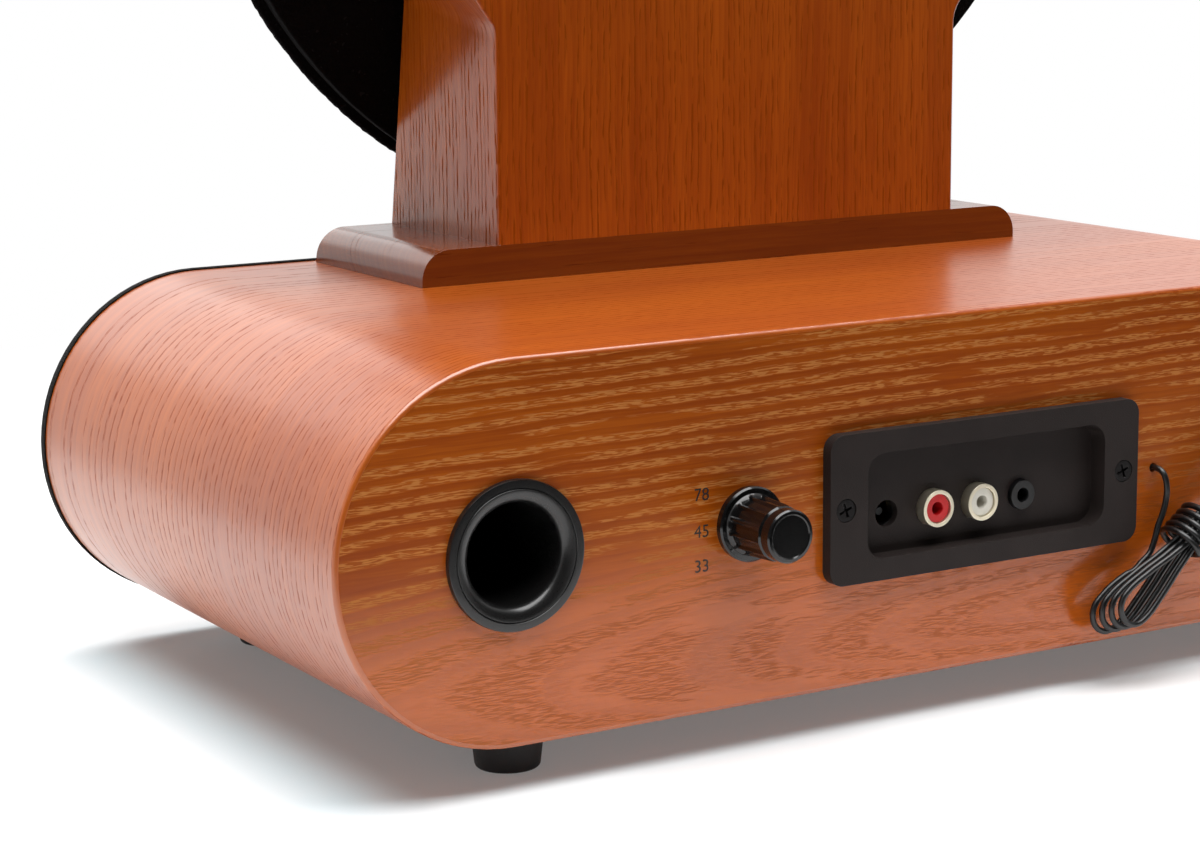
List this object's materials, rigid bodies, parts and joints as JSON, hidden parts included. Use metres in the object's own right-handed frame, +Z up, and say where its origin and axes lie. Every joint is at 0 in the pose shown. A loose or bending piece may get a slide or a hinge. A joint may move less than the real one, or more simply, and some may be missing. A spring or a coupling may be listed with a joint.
{
  "type": "upright record player",
  "caption": "Upright record player: pill-shaped wooden speaker base, leaning wooden tower, vertical platter with felt mat, side tonearm, rear sockets, port, speed knob and tied aerial wire.",
  "frame": {"origin": "middle of the footprint, on the surface that the feet stand on", "axes": "+Z up, the grille and the platter face -Y, the socket panel faces +Y, +X to the right seen from the front"},
  "size_m": [0.355, 0.2214, 0.4444],
  "materials": {
    "shell_wood": "satin lacquered veneer, grain round the base",
    "panel_wood": "satin lacquered veneer, grain along the base",
    "tower_wood": "satin lacquered veneer, upright grain",
    "plinth_wood": "dark satin lacquered wood",
    "black_board": "black painted fibreboard",
    "grille_plastic": "matte black",
    "grille_fabric": "black woven speaker cloth",
    "black_rubber": "matte black",
    "steel_screw": "zinc plated",
    "black_screw": "black oxide",
    "speaker_steel": "black painted pressing",
    "speaker_paper": "coated paper cone",
    "ferrite": "bare ferrite",
    "port_plastic": "satin black moulding",
    "plate_plastic": "fine textured black",
    "jack_plastic": "black moulding",
    "jack_metal": "pale nickel plated",
    "jack_red": "red moulding",
    "jack_white": "off-white moulding",
    "board_green": "solder mask",
    "bare_aluminium": "extruded",
    "standoff_nylon": "natural nylon",
    "switch_metal": "plated",
    "knob_plastic": "glossy black",
    "panel_plastic": "satin black",
    "window_plastic": "smoked acrylic",
    "wire_plastic": "black insulation",
    "felt": "black felt",
    "platter_black": "black coated casting",
    "polished_steel": "polished",
    "bearing_brass": "turned",
    "motor_steel": "drawn can",
    "arm_black": "satin black",
    "arm_aluminium": "satin anodised",
    "shell_black": "satin black"
  },
  "bodies": {
    "player": {"cabinet_shell": "shell_wood", "rear_panel": "panel_wood", "front_baffle": "black_board", "grille_frame": "grille_plastic", "grille_cloth": "grille_fabric", "rubber_feet": "black_rubber", "foot_screws": "steel_screw", "speaker_basket_left": "speaker_steel", "speaker_cone_left": "speaker_paper", "speaker_basket_right": "speaker_steel", "speaker_cone_right": "speaker_paper", "speaker_magnets": "ferrite", "speaker_screws": "steel_screw", "bass_port_left": "port_plastic", "bass_port_right": "port_plastic", "jack_plate": "plate_plastic", "plate_screws": "black_screw", "dc_jack": "jack_plastic", "rca_shells": "jack_metal", "rca_insert_red": "jack_red", "rca_insert_white": "jack_white", "aux_jack": "jack_plastic", "jack_board": "board_green", "speed_switch": "switch_metal", "switch_nut": "switch_metal", "antenna_lead": "wire_plastic", "antenna_hank": "wire_plastic", "board_standoffs": "standoff_nylon", "main_board": "board_green", "heat_sink": "bare_aluminium", "control_panel": "panel_plastic", "display_window": "window_plastic", "control_pots": "switch_metal", "control_board": "board_green", "tact_switches": "jack_plastic", "tower_plinth": "plinth_wood", "tower_case": "tower_wood", "tower_face": "tower_wood", "tower_bolts": "steel_screw", "bearing_housing": "bearing_brass", "drive_motor": "motor_steel", "drive_belt": "black_rubber", "arm_turret": "arm_black", "arm_rest": "arm_black"},
    "platter_set": {"platter_shaft": "polished_steel", "platter": "platter_black", "felt_mat": "felt"},
    "clamp": {"record_clamp": "arm_black"},
    "pulley": {"motor_pulley": "bearing_brass"},
    "arm_pivot": {"arm_yoke": "arm_aluminium"},
    "tonearm": {"arm_tube": "arm_aluminium", "counterweight": "arm_black", "headshell": "shell_black"},
    "speed_dial": {"speed_shaft": "switch_metal", "speed_knob": "knob_plastic"},
    "volume_dial": {"volume_knob": "knob_plastic"},
    "tuning_dial": {"tuning_knob": "knob_plastic"},
    "power_key": {"power_button": "knob_plastic"},
    "source_key": {"source_button": "knob_plastic"},
    "skip_key": {"skip_button": "knob_plastic"}
  },
  "joints": [
    {"name": "platter_spin", "type": "hinge", "parent": "player", "child": "platter_set", "pos_m": [-0.01, -0.05855, 0.25425], "axis": [0, -0.9868, 0.1619], "continuous": true},
    {"name": "clamp_lift", "type": "slide", "parent": "platter_set", "child": "clamp", "axis": [0, -0.9868, 0.1619], "range_m": [0, 0.012]},
    {"name": "motor_spin", "type": "hinge", "parent": "player", "child": "pulley", "pos_m": [-0.01, -0.0715, 0.17531], "axis": [0, -0.9868, 0.1619], "continuous": true},
    {"name": "arm_swing", "type": "hinge", "parent": "player", "child": "arm_pivot", "pos_m": [0.122, -0.03652, 0.38845], "axis": [0, 0.9868, -0.1619], "range_deg": [0, 32.4]},
    {"name": "arm_lift", "type": "hinge", "parent": "arm_pivot", "child": "tonearm", "pos_m": [0.122, -0.0681, 0.39364], "axis": [-0.9957, -0.0151, -0.0918], "range_deg": [-0.9, 12]},
    {"name": "speed_turn", "type": "hinge", "parent": "player", "child": "speed_dial", "pos_m": [0.0715, 0.09, 0.0565], "axis": [0, -1, 0], "range_deg": [0, 75]},
    {"name": "volume_turn", "type": "hinge", "parent": "player", "child": "volume_dial", "pos_m": [0.055, -0.087, 0.058], "axis": [0, 1, 0], "range_deg": [-150, 150]},
    {"name": "tuning_turn", "type": "hinge", "parent": "player", "child": "tuning_dial", "pos_m": [-0.055, -0.087, 0.058], "axis": [0, 1, 0], "continuous": true},
    {"name": "power_press", "type": "slide", "parent": "player", "child": "power_key", "axis": [0, 1, 0], "range_m": [0, 0.001], "stiffness_N_per_m": 300},
    {"name": "source_press", "type": "slide", "parent": "player", "child": "source_key", "axis": [0, 1, 0], "range_m": [0, 0.001], "stiffness_N_per_m": 300},
    {"name": "skip_press", "type": "slide", "parent": "player", "child": "skip_key", "axis": [0, 1, 0], "range_m": [0, 0.001], "stiffness_N_per_m": 300}
  ],
  "couplings": [
    {"joint": "motor_spin", "follows": "platter_spin", "ratio": 9}
  ]
}
